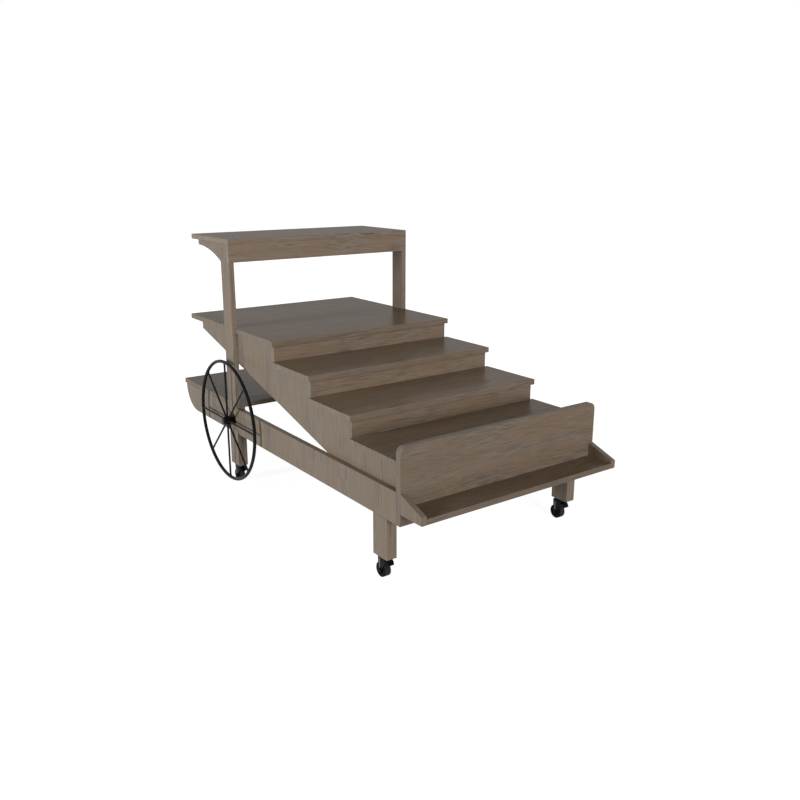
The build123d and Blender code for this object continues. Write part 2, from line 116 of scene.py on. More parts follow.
# Oak-look laminate: printed melamine pressed on board under a clear overlay film. It gives the eye a
# grey-brown ground with short light and dark dashes along a slightly wavy grain, fine dark pores, and a
# satin film that mirrors bright surroundings at low angles.
OAK_DARK = "#5A4F44"
OAK_MID = "#7A6B5D"
OAK_LIGHT = "#8C7C6D"
OAK_PORE = "#43372D"
FILM_WEIGHT = 0.325
FILM_ROUGHNESS = 0.28
PRINT_ROUGHNESS = (0.52, 0.42)  # of dark and light streaks
PORE_BUMP, PORE_DEPTH = 0.25, 0.0004  # strength, and depth in metres

# Layers of the print: noise cells to the metre along and across the grain, and detail. Bands are some 80 mm
# wide, streaks 10 mm, and dashes and pores 2.5 mm, coarse enough to show. Dashes and pores are stronger in
# patches some 80 mm wide and 250 mm long.
PRINT_LAYERS = {"bands": (1.0, 12.0, 2.0), "streaks": (4.0, 100.0, 2.0), "dashes": (9.0, 430.0, 2.0),
                "pores": (8.0, 430.0, 1.0), "patches": (4.0, 12.0, 1.0)}
LAYER_ROUGHNESS = 0.55
# Grain that wanders sideways by some 7 mm over half a metre, and ripples by 1 mm over 120 mm: noise cells to
# the metre along and across the grain, and sway in metres
GRAIN_WANDER = ((2.0, 5.0, 0.020), (8.0, 20.0, 0.003))
NOISE_MIDDLE = 0.5

# Shares of the layers in the print, with a base that brings their sum to the middle of the colour ramp
BAND_SHARE, STREAK_SHARE, PRINT_BASE = 0.16, 0.10, 0.37
DASH_SHARE = (0.35, 0.75)  # outside the patches and in them
DASH_PATCH = (0.38, 0.66)  # noise levels at which a patch begins and is full, for the dashes
PORE_PATCH = (0.42, 0.60)  # the same for the pores
PORE_CUT = (0.55, 0.66)  # noise levels at which a pore begins and is darkest
PORE_DARK = 0.70
PORE_SPARSE = 0.40  # what is left of a pore outside the patches
RAMP_MIDDLE, RAMP_HALF = 0.50, 0.2
GREY_PATCH = (0.3, 0.7)  # noise levels over which a patch turns grey
GREY_SATURATION = (1.12, 0.88)

# Faces are told apart by their normal: ends lie across the grain, and wide faces across the thickness
END_FACING = 0.7
WIDE_FACING = (0.3, 0.7)
NOSE_LINE, NOSE_SHADE = 0.014, 0.7  # height of the painted shadow line under a nose in metres, and its brightness

# Boards by the start of their names, with their grain's axis, contrast and stretch
BOARD_GROUPS = (
    (("top_", "tread_", "riser_", "front_board", "tray_floor", "lower_shelf", "deck_bearer",
      "rear_cross_rail"), "X", 1.0, 1.0),
    (("side_rail", "rear_post", "front_leg", "rear_leg", "stringer"), "Z", 0.55, 2.0),
    (("tray_cheek",), "Z", 0.55, 2.0),
)
PRINT_SEED = 11
PRINT_SHIFT = 3.0  # metres of print from which each board gets its own piece
TONE_SPREAD = (0.99, 1.03)
# Painted light and shade by the start of a board's name: brightness of its print, a painted warm bounce light
# on its wide faces, and painted brightness of its narrow faces
BOARD_PAINTED_LIGHT = {"top_fascia": 1.22, "lower_shelf": 0.90, "tray_floor": 0.86, "front_board": 0.96,
              "riser_middle": 1.08, "riser_upper": 1.05, "tread": 1.06, "front_leg": 1.07, "rear_leg": 1.07,
              "rear_post": 1.03}
BOARD_PAINTED_WARMTH = {"tread": 1.20, "top_deck": 1.20, "top_shelf": 1.20, "tray_floor": 1.22, "lower_shelf": 1.10,
                "front_board": 1.08}
EDGE_PAINTED_LIGHT = {"top_shelf": 1.22, "top_deck": 0.97, "tread": 0.94, "front_leg": 1.15, "rear_leg": 1.20,
             "rear_post": 1.12}
PLAIN_PAINTED_WARMTH = 1.04
EDGE_PAINTED_WARMTH = 1.0


def oak_laminate(name, grain, run, shift, tone_and_light, contrast, stretch, nose, edge_light, painted_warmth):
    """Laminate with its grain along one axis; the ends carry edge band, with upright grain on level boards.

    A soft painted shadow line lies under the height of the nose above the board, where there is one. The
    narrow faces take a painted lighter or darker tone, where the board has one of its own.
    """
    material, tree, shader = new_material(name)
    spot = add(tree, "TexCoord")
    place = add(tree, "Mapping", {"Vector": spot.outputs["Object"], "Location": shift})
    xyz = add(tree, "SeparateXYZ", {"Vector": place.outputs["Vector"]})
    facing = add(tree, "SeparateXYZ", {"Vector": spot.outputs["Normal"]})
    rest = next(axis for axis in "XYZ" if axis not in (grain, run))

    # Place on the board along and across its grain, on its faces and on its ends
    faces = add(tree, "CombineXYZ", {0: xyz.outputs[grain], 1: xyz.outputs[run], 2: xyz.outputs[rest]})
    along, aside = (run, rest) if "Z" in (grain, run) else (rest, run)
    ends = add(tree, "CombineXYZ", {0: xyz.outputs[along], 1: xyz.outputs[aside], 2: xyz.outputs[grain]})
    across = add(tree, "Math", {0: facing.outputs[grain]}, operation="ABSOLUTE")
    is_end = add(tree, "Math", {0: across.outputs[0], 1: END_FACING}, operation="GREATER_THAN")
    choice = add(tree, "Mix", {"Factor": is_end.outputs[0], VECTOR_A: faces.outputs[0],
                               VECTOR_B: ends.outputs[0]}, data_type="VECTOR")
    board = choice.outputs[VECTOR_OUT]

    waved = board
    for lengthwise, crosswise, sway in GRAIN_WANDER:
        slow = add(tree, "Mapping", {"Vector": board, "Scale": (lengthwise, crosswise, crosswise)})
        wander = add(tree, "TexNoise", {"Vector": slow.outputs[0], "Scale": 1.0, "Detail": 1.0})
        offset = add(tree, "VectorMath", {0: wander.outputs["Color"], 1: (NOISE_MIDDLE,) * 3},
                     operation="SUBTRACT")
        sideways = add(tree, "VectorMath", {0: offset.outputs[0], 1: (0.0, sway, sway)}, operation="MULTIPLY")
        waved = add(tree, "VectorMath", {0: waved, 1: sideways.outputs[0]}, operation="ADD").outputs[0]

    layers = {}
    for layer, (lengthwise, crosswise, detail) in PRINT_LAYERS.items():
        cells = (lengthwise / stretch, crosswise, crosswise)
        stretched = add(tree, "Mapping", {"Vector": waved, "Scale": cells})
        noise = add(tree, "TexNoise", {"Vector": stretched.outputs[0], "Scale": 1.0, "Detail": detail,
                                       "Roughness": LAYER_ROUGHNESS})
        layers[layer] = noise.outputs[0]

    # Bands, streaks and dashes pick a colour between dark and light
    strong = add(tree, "MapRange", {"Value": layers["patches"], "From Min": DASH_PATCH[0],
                                    "From Max": DASH_PATCH[1], "To Min": DASH_SHARE[0],
                                    "To Max": DASH_SHARE[1]})
    dash = add(tree, "Math", {0: layers["dashes"], 1: NOISE_MIDDLE}, operation="SUBTRACT")
    wide = add(tree, "Math", {0: layers["bands"], 1: BAND_SHARE, 2: PRINT_BASE}, operation="MULTIPLY_ADD")
    medium = add(tree, "Math", {0: layers["streaks"], 1: STREAK_SHARE, 2: wide.outputs[0]},
                 operation="MULTIPLY_ADD")
    figure = add(tree, "Math", {0: dash.outputs[0], 1: strong.outputs[0], 2: medium.outputs[0]},
                 operation="MULTIPLY_ADD")
    ramp = add(tree, "ValToRGB", {"Fac": figure.outputs[0]})
    ramp.color_ramp.elements[0].position = RAMP_MIDDLE - RAMP_HALF / contrast
    ramp.color_ramp.elements[0].color = linear(OAK_DARK)
    ramp.color_ramp.elements[1].position = RAMP_MIDDLE + RAMP_HALF / contrast
    ramp.color_ramp.elements[1].color = linear(OAK_LIGHT)
    ramp.color_ramp.elements.new(RAMP_MIDDLE).color = linear(OAK_MID)

    # Pores darken it in thin lines
    line = add(tree, "MapRange", {"Value": layers["pores"], "From Min": PORE_CUT[0], "From Max": PORE_CUT[1],
                                  "To Max": PORE_DARK})
    cluster = add(tree, "MapRange", {"Value": layers["patches"], "From Min": PORE_PATCH[0],
                                     "From Max": PORE_PATCH[1], "To Min": PORE_SPARSE})
    pore = add(tree, "Math", {0: line.outputs[0], 1: cluster.outputs[0]}, operation="MULTIPLY")
    stained = add(tree, "Mix", {"Factor": pore.outputs[0], COLOUR_A: ramp.outputs[0],
                                COLOUR_B: linear(OAK_PORE)}, data_type="RGBA")

    # Painted warm bounce light, tone with painted light and shade, painted shadow under the nose, and painted
    # light on the narrow faces
    flat = add(tree, "Math", {0: facing.outputs[rest]}, operation="ABSOLUTE")
    wide_face = add(tree, "MapRange", {"Value": flat.outputs[0], "From Min": WIDE_FACING[0],
                                       "From Max": WIDE_FACING[1]})
    # Painted warm bounce light: the wide faces are made warmer than the narrow ones
    painted_warm = add(tree, "MapRange", {"Value": wide_face.outputs[0], "To Min": EDGE_PAINTED_WARMTH, "To Max": painted_warmth})
    greyer = add(tree, "MapRange", {"Value": layers["patches"], "From Min": GREY_PATCH[0],
                                    "From Max": GREY_PATCH[1], "To Min": GREY_SATURATION[0],
                                    "To Max": GREY_SATURATION[1]})
    vivid = add(tree, "Math", {0: greyer.outputs[0], 1: painted_warm.outputs[0]}, operation="MULTIPLY")
    toned = add(tree, "HueSaturation", {"Saturation": vivid.outputs[0], "Value": tone_and_light,
                                        "Color": stained.outputs[COLOUR_OUT]})
    # Painted shadow: the riser darkens towards its top, under the nose of the board above
    if nose:
        height = add(tree, "SeparateXYZ", {"Vector": spot.outputs["Object"]})
        nose_shadow = add(tree, "MapRange", {"Value": height.outputs["Z"], "From Min": nose - NOSE_LINE,
                                       "From Max": nose, "To Min": tone_and_light, "To Max": NOSE_SHADE * tone_and_light},
                    interpolation_type="SMOOTHSTEP")
        tree.links.new(nose_shadow.outputs[0], toned.inputs["Value"])
    # Painted light and shade: the narrow faces get their own brightness, lighter on most listed boards and
    # darker on the deck and treads
    if edge_light:
        painted_edge = add(tree, "MapRange", {"Value": wide_face.outputs[0], "To Min": edge_light * tone_and_light, "To Max": tone_and_light})
        tree.links.new(painted_edge.outputs[0], toned.inputs["Value"])
    tree.links.new(toned.outputs[0], shader.inputs["Base Color"])

    shader.inputs["Specular IOR Level"].default_value = 0.0
    shader.inputs["Coat Weight"].default_value = FILM_WEIGHT
    shader.inputs["Coat Roughness"].default_value = FILM_ROUGHNESS
    rough = add(tree, "MapRange", {"Value": layers["streaks"], "To Min": PRINT_ROUGHNESS[0],
                                   "To Max": PRINT_ROUGHNESS[1]})
    tree.links.new(rough.outputs[0], shader.inputs["Roughness"])
    depth = add(tree, "Math", {0: pore.outputs[0], 1: -1.0}, operation="MULTIPLY")
    bump = add(tree, "Bump", {"Height": depth.outputs[0], "Strength": PORE_BUMP, "Distance": PORE_DEPTH})
    tree.links.new(bump.outputs[0], shader.inputs["Normal"])
    return material


# Powder-coated steel: a baked matte black film. It gives the eye a soft sheen with a faint orange peel of
# some 2 mm, clouded over some 70 mm, and a painted grey highlight in patches of some 10 mm on crests facing a
# side.
COAT_DARK, COAT_LIGHT, COAT_HIGHLIGHT = "#060606", "#0C0C0D", "#737375"
COAT_PEEL, COAT_CLOUD, HIGHLIGHT_PATCHES = 450.0, 14.0, 90.0  # noise cells to the metre
COAT_ROUGHNESS = (0.34, 0.46)
COAT_BUMP, COAT_DEPTH = 0.12, 0.0005
CREST_FACING = (0.84, 0.98)  # how far a crest faces straight out to a side where the painted highlight begins and is full
HIGHLIGHT_PATCH_CUT = (0.35, 0.55)
HIGHLIGHT_PATCH_LEAST = 0.5
WHEEL_GLOSS, CASTER_GLOSS = 0.12, 0.07


def black_powder_coat(name, gloss, highlighted=False):
    """Black powder coat, with a painted grey highlight on its crests if asked."""
    material, tree, shader = new_material(name)
    spot = add(tree, "TexCoord")
    peel = add(tree, "TexNoise", {"Vector": spot.outputs["Object"], "Scale": COAT_PEEL, "Detail": 2.0})
    cloud = add(tree, "TexNoise", {"Vector": spot.outputs["Object"], "Scale": COAT_CLOUD, "Detail": 3.0})
    shade = add(tree, "Mix", {"Factor": cloud.outputs[0], COLOUR_A: linear(COAT_DARK),
                              COLOUR_B: linear(COAT_LIGHT)}, data_type="RGBA")
    # Painted highlight: crests that face straight out to a side turn light grey in patches
    if highlighted:
        facing = add(tree, "SeparateXYZ", {"Vector": spot.outputs["Normal"]})
        outward = add(tree, "Math", {0: facing.outputs["X"]}, operation="ABSOLUTE")
        crest = add(tree, "MapRange", {"Value": outward.outputs[0], "From Min": CREST_FACING[0],
                                       "From Max": CREST_FACING[1]})
        highlight_noise = add(tree, "TexNoise", {"Vector": spot.outputs["Object"], "Scale": HIGHLIGHT_PATCHES, "Detail": 4.0})
        patch = add(tree, "MapRange", {"Value": highlight_noise.outputs[0], "From Min": HIGHLIGHT_PATCH_CUT[0],
                                       "From Max": HIGHLIGHT_PATCH_CUT[1], "To Min": HIGHLIGHT_PATCH_LEAST})
        highlight_mask = add(tree, "Math", {0: crest.outputs[0], 1: patch.outputs[0]}, operation="MULTIPLY")
        shade = add(tree, "Mix", {"Factor": highlight_mask.outputs[0], COLOUR_A: shade.outputs[COLOUR_OUT],
                                  COLOUR_B: linear(COAT_HIGHLIGHT)}, data_type="RGBA")
    tree.links.new(shade.outputs[COLOUR_OUT], shader.inputs["Base Color"])
    rough = add(tree, "MapRange", {"Value": cloud.outputs[0], "To Min": COAT_ROUGHNESS[0],
                                   "To Max": COAT_ROUGHNESS[1]})
    tree.links.new(rough.outputs[0], shader.inputs["Roughness"])
    shader.inputs["Specular IOR Level"].default_value = gloss
    bump = add(tree, "Bump", {"Height": peel.outputs[0], "Strength": COAT_BUMP, "Distance": COAT_DEPTH})
    tree.links.new(bump.outputs[0], shader.inputs["Normal"])
    return material


# Zinc-plated steel: dull grey metal, which gives the eye a fine spangle of some 1 mm
ZINC_DARK, ZINC_LIGHT = "#5A5955", "#7B7A76"
ZINC_SPANGLE = 900.0  # crystals to the metre
ZINC_ROUGHNESS = (0.28, 0.42)


def zinc_plate():
    """Zinc plate with a spangle of cells."""
    material, tree, shader = new_material("zinc_plate")
    spot = add(tree, "TexCoord")
    spangle = add(tree, "TexVoronoi", {"Vector": spot.outputs["Object"], "Scale": ZINC_SPANGLE})
    shade = add(tree, "Mix", {"Factor": spangle.outputs["Distance"], COLOUR_A: linear(ZINC_DARK),
                              COLOUR_B: linear(ZINC_LIGHT)}, data_type="RGBA")
    tree.links.new(shade.outputs[COLOUR_OUT], shader.inputs["Base Color"])
    rough = add(tree, "MapRange", {"Value": spangle.outputs["Distance"], "To Min": ZINC_ROUGHNESS[0],
                                   "To Max": ZINC_ROUGHNESS[1]})
    tree.links.new(rough.outputs[0], shader.inputs["Roughness"])
    shader.inputs["Metallic"].default_value = 1.0
    return material


# Moulded nylon and rubber: black polymers, which give the eye a dull skin with a fine grit from the mould.
# Each has its dark and light colour, its smoothest and roughest patch, and its grit in grains to the metre.
NYLON = ("#040404", "#090909", 0.38, 0.55, 2500.0)
RUBBER = ("#060606", "#0C0C0C", 0.60, 0.80, 1800.0)
# Painted sheen: the tyre's tread face is coloured lighter grey than its sides, standing in for its reflection
# of the floor
PAINTED_SHEEN_RUBBER = ("#242424", "#343434", 0.60, 0.80, 1800.0)
POLYMER_CLOUD = 60.0  # noise cells to the metre
POLYMER_GLOSS = 0.08
GRIT_BUMP, GRIT_DEPTH = 0.15, 0.0003


def moulded_black(name, dark, light, smoothest, roughest, grit):
    """Moulded black polymer with a fine grit in the surface."""
    material, tree, shader = new_material(name)
    spot = add(tree, "TexCoord")
    grain = add(tree, "TexNoise", {"Vector": spot.outputs["Object"], "Scale": grit, "Detail": 3.0})
    cloud = add(tree, "TexNoise", {"Vector": spot.outputs["Object"], "Scale": POLYMER_CLOUD, "Detail": 3.0})
    shade = add(tree, "Mix", {"Factor": cloud.outputs[0], COLOUR_A: linear(dark), COLOUR_B: linear(light)},
                data_type="RGBA")
    tree.links.new(shade.outputs[COLOUR_OUT], shader.inputs["Base Color"])
    rough = add(tree, "MapRange", {"Value": cloud.outputs[0], "To Min": smoothest, "To Max": roughest})
    tree.links.new(rough.outputs[0], shader.inputs["Roughness"])
    shader.inputs["Specular IOR Level"].default_value = POLYMER_GLOSS
    bump = add(tree, "Bump", {"Height": grain.outputs[0], "Strength": GRIT_BUMP, "Distance": GRIT_DEPTH})
    tree.links.new(bump.outputs[0], shader.inputs["Normal"])
    return material


def dress(node, material):
    """Gives a CAD node its finish."""
    slots = nodes[node].data.materials
    slots.clear()
    slots.append(material)


def by_start(table, node, plain):
    """Value of the table's entry that starts the node's name, or the plain one."""
    return next((value for start, value in table.items() if node.startswith(start)), plain)


def dress_boards():
    """Laminate on every board, with its own stretch of the printed grain, its own slight tone, and its
    painted light and shade.
    """
    rng = np.random.default_rng(PRINT_SEED)
    for starts, grain, contrast, stretch in BOARD_GROUPS:
        for node in sorted(n for n in nodes if n.startswith(starts)):
            low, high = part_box(node)
            size = dict(zip("XYZ", high - low))
            run = max((axis for axis in "XYZ" if axis != grain), key=size.get)
            shift = tuple(rng.uniform(0.0, PRINT_SHIFT, 3))
            # Random tone of the board's print, times the painted light and shade listed for the board
            tone_and_light = rng.uniform(*TONE_SPREAD) * by_start(BOARD_PAINTED_LIGHT, node, 1.0)
            nose = high.z if node.startswith("riser") else None
            edge_light = by_start(EDGE_PAINTED_LIGHT, node, None)
            painted_warmth = by_start(BOARD_PAINTED_WARMTH, node, PLAIN_PAINTED_WARMTH)
            dress(node, oak_laminate("oak_laminate_" + node, grain, run, shift, tone_and_light, contrast, stretch, nose,
                                     edge_light, painted_warmth))


def dress_hardware():
    """Finishes of wheels, casters and fasteners, returned by name for the pieces that are added to them."""
    zinc = zinc_plate()
    coat = black_powder_coat("black_powder_coat", WHEEL_GLOSS)
    caster_coat = black_powder_coat("black_caster_coat", CASTER_GLOSS)
    highlighted_coat = black_powder_coat("highlighted_caster_coat", CASTER_GLOSS, highlighted=True)
    nylon = moulded_black("black_nylon", *NYLON)
    rubber = moulded_black("black_rubber", *RUBBER)
    tread = moulded_black("painted_sheen_tread", *PAINTED_SHEEN_RUBBER)
    finishes = {"cart_wheel": coat, "cart_axle": coat, "caster_plate": caster_coat,
                "caster_fork": caster_coat, "caster_pins": caster_coat, "caster_screws": zinc,
                "side_screws": zinc, "caster_wheel": nylon, "brake_pedal": nylon, "caster_tyre": rubber}
    for start, material in finishes.items():
        for node in nodes:
            if node.startswith(start):
                dress(node, material)
    return {"coat": coat, "highlighted_coat": highlighted_coat, "nylon": nylon, "rubber": rubber, "tread": tread}


# Small surfaces of the casters and cart wheels, in metres
SHARP_ANGLE = 40.0  # degrees past which an edge is shaded sharp
TYRE_EDGE = 0.0012  # radius of the tyre's crisp shoulders
TYRE_GROOVE = 0.0006  # depth of the ring pressed into each side of the tyre
TYRE_MARGIN = 0.25  # share of the side wall that is left inside and outside that ring
TYRE_STEPS, SHOULDER_STEPS = 72, 5
WHEEL_RIBS = 6
RIB_SPAN = (0.0075, 0.0215)  # from inside the hub to inside the wheel's rim
RIB_MIDDLE = 0.0100  # from the wheel's middle plane
RIB_HALF = (0.0011, 0.0030)
SEAL_IN, SEAL_OUT, SEAL_TALL = 0.0166, 0.0186, 0.0027
SEAL_STEPS, SEAL_BULGE_STEPS = 48, 9
PEDAL_KNEE = (0.0, -0.015, 0.002)  # from the pin to the pedal's bend
PEDAL_SLOPE = 55.0  # degrees of the toe below level
PEDAL_SKIN = 0.0024  # from the toe's middle to the upper face of its pad
PAD_SPOT = 0.0115  # from the bend along the toe to the middle of its pad
PAD_HALF_LONG, PAD_HALF = 0.0155, (0.0090, 0.0027)
GRIP_SPOTS = (0.0065, 0.0098, 0.0131, 0.0164)  # from the bend along the toe
GRIP_HALF_LONG, GRIP_HALF = 0.0125, (0.0008, 0.0009)
SWAGE_FROM, SWAGE_TO = 0.0420, 0.0885  # heights of the stiffening swage in each fork cheek
SWAGE_HALF = (0.0042, 0.0016)
BAR_STEPS, BAR_SIDES = 15, 16  # along and round each rib, pad and swage
BAR_END, BAR_SWELL, BAR_POWER = 0.33, 0.67, 12  # section at the ends, what it gains, and how suddenly
SPOKE_R, HUB_R, SPOKES = 0.005, 0.023, 8
BEAD_R, BEAD_RIPPLE, BEAD_WAVES = 0.0021, 0.14, 16
BEAD_STEPS, BEAD_SIDES = 64, 10


def make_piece(name, grid, ring, body, material):
    """Piece made of grids of points: first index the shape, then along its path, then round its profile.

    Every profile closes on itself. A path closes too where ring is true, and gets flat ends otherwise.
    """
    shapes, steps, around = grid.shape[:3]
    index = np.arange(shapes * steps * around).reshape(shapes, steps, around)
    here = index if ring else index[:, :-1]
    ahead = np.roll(index, -1, axis=1) if ring else index[:, 1:]
    quads = np.stack([here, ahead, np.roll(ahead, -1, axis=2), np.roll(here, -1, axis=2)], axis=-1)
    faces = quads.reshape(-1, 4).tolist()
    if not ring:
        faces += index[:, 0].tolist() + index[:, -1, ::-1].tolist()
    mesh = bpy.data.meshes.new(name)
    mesh.from_pydata(grid.reshape(-1, 3).tolist(), [], faces)
    mesh.shade_smooth()
    mesh.set_sharp_from_angle(angle=math.radians(SHARP_ANGLE))
    mesh.materials.append(material)
    piece = bpy.data.objects.new(name, mesh)
    bpy.context.scene.collection.objects.link(piece)
    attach(piece, body)
    return piece


def arc(centre, radius, start, end, count):
    """Points of an arc: the centre plus radius times cosine and sine of evenly spaced angles, in degrees."""
    turn = np.radians(np.linspace(start, end, count))
    return np.stack([centre[0] + radius * np.cos(turn), centre[1] + radius * np.sin(turn)], axis=-1)


def turned_ring(profile, centre, axis, count):
    """Ring turned on the X or Z axis through a centre.

    A profile point at distance a along the axis and r from it becomes, for each angle, the centre plus a
    along the axis plus r times cosine and sine along the two other axes.
    """
    turn = np.linspace(0.0, FULL_TURN, count, endpoint=False)[:, None]
    along = np.broadcast_to(profile[:, 0], (count, len(profile)))
    wide, high = profile[:, 1] * np.cos(turn), profile[:, 1] * np.sin(turn)
    order = (along, wide, high) if axis == "X" else (wide, high, along)
    return (np.stack(order, axis=-1) + centre)[None]


def rounded_bars(starts, ends, up, half):
    """Straight ribs of oval section with rounded ends, one for each start and end.

    Point = start + t (end - start) + f(t) (half width cos u * side + half height sin u * up), where f(t) is a
    flattened arch that falls to a third at both ends.
    """
    along = ends - starts
    up = np.broadcast_to(up, along.shape)
    side = np.cross(along / np.linalg.norm(along, axis=1, keepdims=True), up)
    t = np.sin(np.linspace(-0.5, 0.5, BAR_STEPS) * math.pi) * 0.5 + 0.5
    flat_arch = np.sqrt(np.maximum(1.0 - np.abs(2.0 * t - 1.0) ** BAR_POWER, 0.0))
    swell = flat_arch * BAR_SWELL + BAR_END
    u = np.linspace(0.0, FULL_TURN, BAR_SIDES, endpoint=False)[:, None]
    section = half[0] * np.cos(u) * side[:, None] + half[1] * np.sin(u) * up[:, None]
    middle = starts[:, None] + t[:, None] * along[:, None]
    return middle[:, :, None] + swell[:, None, None] * section[:, None]


def weld_beads(centre, radius, bar):
    """Rippled weld bead round each spoke where it meets the hub, or the rim's round bar where bar isn't zero.

    At angle u round the spoke the seam lies SPOKE_R cos u along the wheel's axis, SPOKE_R sin u sideways, and
    as far from the axle as the spoke's skin runs before it enters the hub or the bar. The bead is a tube
    round that seam, whose radius swells and shrinks with the cosine of BEAD_WAVES times u.
    """
    angle = (np.arange(SPOKES) * FULL_TURN / SPOKES)[:, None, None]
    u = np.linspace(0.0, FULL_TURN, BEAD_STEPS, endpoint=False)[:, None]
    v = np.linspace(FULL_TURN, 0.0, BEAD_SIDES, endpoint=False)
    met = radius - np.sqrt(bar ** 2 - (SPOKE_R * np.cos(u)) ** 2) if bar else radius
    tube = BEAD_R * (1.0 + BEAD_RIPPLE * np.cos(BEAD_WAVES * u))
    rise = np.sqrt(met ** 2 - (SPOKE_R * np.sin(u)) ** 2) + tube * np.sin(v)
    out = SPOKE_R + tube * np.cos(v)
    axial = np.broadcast_to(out * np.cos(u), (SPOKES, *out.shape))
    sideways = out * np.sin(u)
    wide = rise * np.cos(angle) - sideways * np.sin(angle)
    high = rise * np.sin(angle) + sideways * np.cos(angle)
    return np.stack([axial, wide, high], axis=-1) + centre


def make_tyre(caster, rubber, tread):
    """Tyre with a flat tread and crisp shoulders, turned on the axle, with a ring pressed into each side."""
    low, high = (np.array(corner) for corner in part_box("caster_tyre_" + caster))
    core_low, core_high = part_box("caster_wheel_" + caster)
    half, outer, inner = (high - low)[0] / 2, (high - low)[2] / 2, (core_high - core_low).z / 2
    margin = (outer - inner) * TYRE_MARGIN
    shoulder = arc((half - TYRE_EDGE, outer - TYRE_EDGE), TYRE_EDGE, 90.0, 0.0, SHOULDER_STEPS)
    side = np.array([(half, outer - margin), (half - TYRE_GROOVE, outer - margin - TYRE_GROOVE),
                     (half - TYRE_GROOVE, inner + margin + TYRE_GROOVE), (half, inner + margin),
                     (half, inner)])
    right = np.concatenate([shoulder, side])
    profile = np.concatenate([right, right[::-1] * (-1.0, 1.0)])
    grid = turned_ring(profile, (low + high) / 2, "X", TYRE_STEPS)
    tyre = make_piece("tyre_" + caster, grid, True, caster + "_wheel", rubber)
    tyre.data.materials.append(tread)
    # The profile's last face, which closes it from shoulder to shoulder, is the tread
    is_tread = np.tile(np.arange(len(profile)) == len(profile) - 1, grid.shape[1])
    tyre.data.polygons.foreach_set("material_index", is_tread.astype(np.int32))
    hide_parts("caster_tyre_" + caster)


def make_wheel_ribs(caster, nylon):
    """Straight ribs in the dish on each side of a caster wheel, from the hub out to the wheel's rim."""
    angle = np.tile(np.arange(WHEEL_RIBS) * FULL_TURN / WHEEL_RIBS, 2)
    ray = np.stack([np.zeros_like(angle), np.cos(angle), np.sin(angle)], axis=-1)
    face = np.repeat((-RIB_MIDDLE, RIB_MIDDLE), WHEEL_RIBS)[:, None] * np.array(X_AXIS)
    middle = pivots[caster + "_wheel_roll"] + face
    grid = rounded_bars(middle + RIB_SPAN[0] * ray, middle + RIB_SPAN[1] * ray, X_AXIS, RIB_HALF)
    make_piece("wheel_ribs_" + caster, grid, False, caster + "_wheel", nylon)


def make_swivel_seal(caster, nylon):
    """Seal ring with a half-round outside, turned on the swivel axis and lying on the fork."""
    bulge = SEAL_TALL / 2
    outside = arc((bulge, SEAL_OUT - bulge), bulge, 180.0, 0.0, SEAL_BULGE_STEPS)
    profile = np.concatenate([[(0.0, SEAL_IN)], outside, [(SEAL_TALL, SEAL_IN)]])
    grid = turned_ring(profile, pivots[caster + "_swivel_turn"], "Z", SEAL_STEPS)
    make_piece("swivel_seal_" + caster, grid, True, caster + "_swivel", nylon)


def make_pedal_grip(caster, nylon):
    """Oval pad over the sloping toe of the brake pedal, with straight grip ribs across it at even steps."""
    slope = math.radians(PEDAL_SLOPE)
    down = np.array((0.0, -math.cos(slope), -math.sin(slope)))
    up = np.array((0.0, -math.sin(slope), math.cos(slope)))
    bend = pivots[caster + "_brake_press"] + np.array(PEDAL_KNEE)
    middle = (bend + PAD_SPOT * down)[None]
    reach = PAD_HALF_LONG * np.array(X_AXIS)
    pad = rounded_bars(middle - reach, middle + reach, up, PAD_HALF)
    middle = bend + PEDAL_SKIN * up + np.array(GRIP_SPOTS)[:, None] * down
    reach = GRIP_HALF_LONG * np.array(X_AXIS)
    ribs = rounded_bars(middle - reach, middle + reach, up, GRIP_HALF)
    grid = np.concatenate([pad, ribs])
    make_piece("pedal_grip_" + caster, grid, False, caster + "_pedal", nylon)


def make_fork_swages(caster, highlighted_coat):
    """Upright stiffening swage pressed out of each fork cheek above the axle, with a painted grey highlight
    on its crest.
    """
    low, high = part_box("caster_fork_" + caster)
    axle = pivots[caster + "_wheel_roll"]
    foot = np.array([(low.x, axle[1], SWAGE_FROM), (high.x, axle[1], SWAGE_FROM)])
    head = np.array([(low.x, axle[1], SWAGE_TO), (high.x, axle[1], SWAGE_TO)])
    grid = rounded_bars(foot, head, X_AXIS, SWAGE_HALF)
    make_piece("fork_swages_" + caster, grid, False, caster + "_swivel", highlighted_coat)


def make_wheel_welds(side, coat):
    """Weld beads at both ends of a cart wheel's spokes."""
    low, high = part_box("cart_wheel_rim_" + side)
    bar = (high - low).x / 2
    centre = pivots[side + "_cart_wheel_turn"]
    at_hub = weld_beads(centre, HUB_R, 0.0)
    at_rim = weld_beads(centre, (high - low).z / 2 - bar, bar)
    beads = np.concatenate([at_hub, at_rim])
    make_piece("wheel_welds_" + side, beads, True, "cart_wheel_" + side, coat)


def add_hardware_details(finishes):
    """Small moulded, pressed and welded features that the plain solids leave out."""
    for caster in CASTERS:
        make_tyre(caster, finishes["rubber"], finishes["tread"])
        make_wheel_ribs(caster, finishes["nylon"])
        make_swivel_seal(caster, finishes["nylon"])
        make_pedal_grip(caster, finishes["nylon"])
        make_fork_swages(caster, finishes["highlighted_coat"])
    for side in SIDES:
        make_wheel_welds(side, finishes["coat"])


def shown_white(tree):
    """One where a camera, glossy or transmission ray looks, and zero for diffuse light."""
    path = add(tree, "LightPath").outputs
    seen = add(tree, "Math", {0: path["Is Camera Ray"], 1: path["Is Glossy Ray"]}, operation="MAXIMUM")
    shown = add(tree, "Math", {0: seen.outputs[0], 1: path["Is Transmission Ray"]}, operation="MAXIMUM")
    return shown.outputs[0]


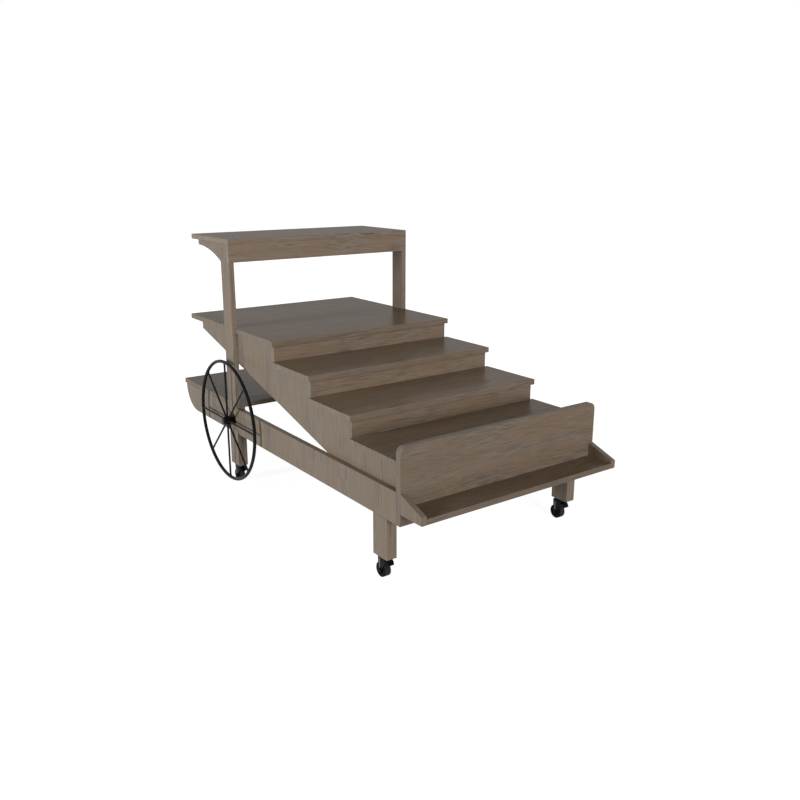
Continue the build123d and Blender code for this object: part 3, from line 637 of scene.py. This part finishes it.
def make_floor():
    """Pale floor under the casters: matte white, lifted to the background's white outside the shadows."""
    corners = np.array([(-1, -1, 0), (1, -1, 0), (1, 1, 0), (-1, 1, 0)], float) * FLOOR_HALF
    mesh = bpy.data.meshes.new("floor")
    mesh.from_pydata(corners.tolist(), [], [(0, 1, 2, 3)])
    floor = bpy.data.objects.new("floor", mesh)
    bpy.context.scene.collection.objects.link(floor)
    material, tree, shader = new_material("floor_white")
    shader.inputs["Base Color"].default_value = linear(FLOOR_COLOUR)
    shader.inputs["Roughness"].default_value = 1.0
    shader.inputs["Specular IOR Level"].default_value = 0.0
    shader.inputs["Emission Color"].default_value = WHITE
    spot = add(tree, "TexCoord")
    away = add(tree, "VectorMath", {0: spot.outputs["Object"]}, operation="LENGTH")
    white = add(tree, "MapRange", {"Value": away.outputs["Value"], "From Min": FLOOR_NEAR,
                                   "From Max": FLOOR_FAR, "To Min": FLOOR_LIFT_NEAR, "To Max": 1.0})
    lift = add(tree, "Math", {0: shown_white(tree), 1: white.outputs[0]}, operation="MULTIPLY")
    tree.links.new(lift.outputs[0], shader.inputs["Emission Strength"])
    mesh.materials.append(material)


def make_world():
    """White where it is seen or mirrored, and a plain even light on the object."""
    world = bpy.data.worlds.new("studio")
    bpy.context.scene.world = world
    world.use_nodes = True
    tree = world.node_tree
    tree.nodes.clear()
    strength = add(tree, "MapRange", {"Value": shown_white(tree), "To Min": AMBIENT, "To Max": 1.0})
    sky = add(tree, "Background", {"Color": WHITE, "Strength": strength.outputs[0]})
    add(tree, "OutputWorld", {"Surface": sky.outputs[0]})


def make_lamps():
    """Soft square lamps, each turned to its aim."""
    for name, lamp in LAMPS.items():
        data = bpy.data.lights.new(name, "AREA")
        data.size = lamp["size"]
        data.energy = lamp["power"]
        data.color = linear(lamp["colour"])[:3]
        made = bpy.data.objects.new(name, data)
        made.location = lamp["place"]
        made.rotation_euler = (Vector(LAMP_AIM) - Vector(lamp["place"])).to_track_quat("-Z", "Y").to_euler()
        made.visible_camera = False
        made.visible_glossy = False
        bpy.context.scene.collection.objects.link(made)


def make_camera():
    """Camera of the photograph: place, direction, slight roll and focal length."""
    azimuth, elevation = math.radians(CAMERA_AZIMUTH), math.radians(CAMERA_ELEVATION)
    back = Vector((math.sin(azimuth) * math.cos(elevation), -math.cos(azimuth) * math.cos(elevation),
                   math.sin(elevation)))
    roll = Matrix.Rotation(math.radians(CAMERA_ROLL), 3, "Z")
    turn = (-back).to_track_quat("-Z", "Y").to_matrix() @ roll
    data = bpy.data.cameras.new("camera")
    data.sensor_fit = "HORIZONTAL"
    data.sensor_width = SENSOR_MM
    data.lens = LENS_MM
    camera = bpy.data.objects.new("camera", data)
    camera.matrix_world = Matrix.Translation(CAMERA_PLACE) @ turn.to_4x4()
    bpy.context.scene.collection.objects.link(camera)
    bpy.context.scene.camera = camera


dress_boards()
add_hardware_details(dress_hardware())
make_floor()
make_world()
make_lamps()
make_camera()
bpy.context.scene.view_settings.view_transform = "Standard"
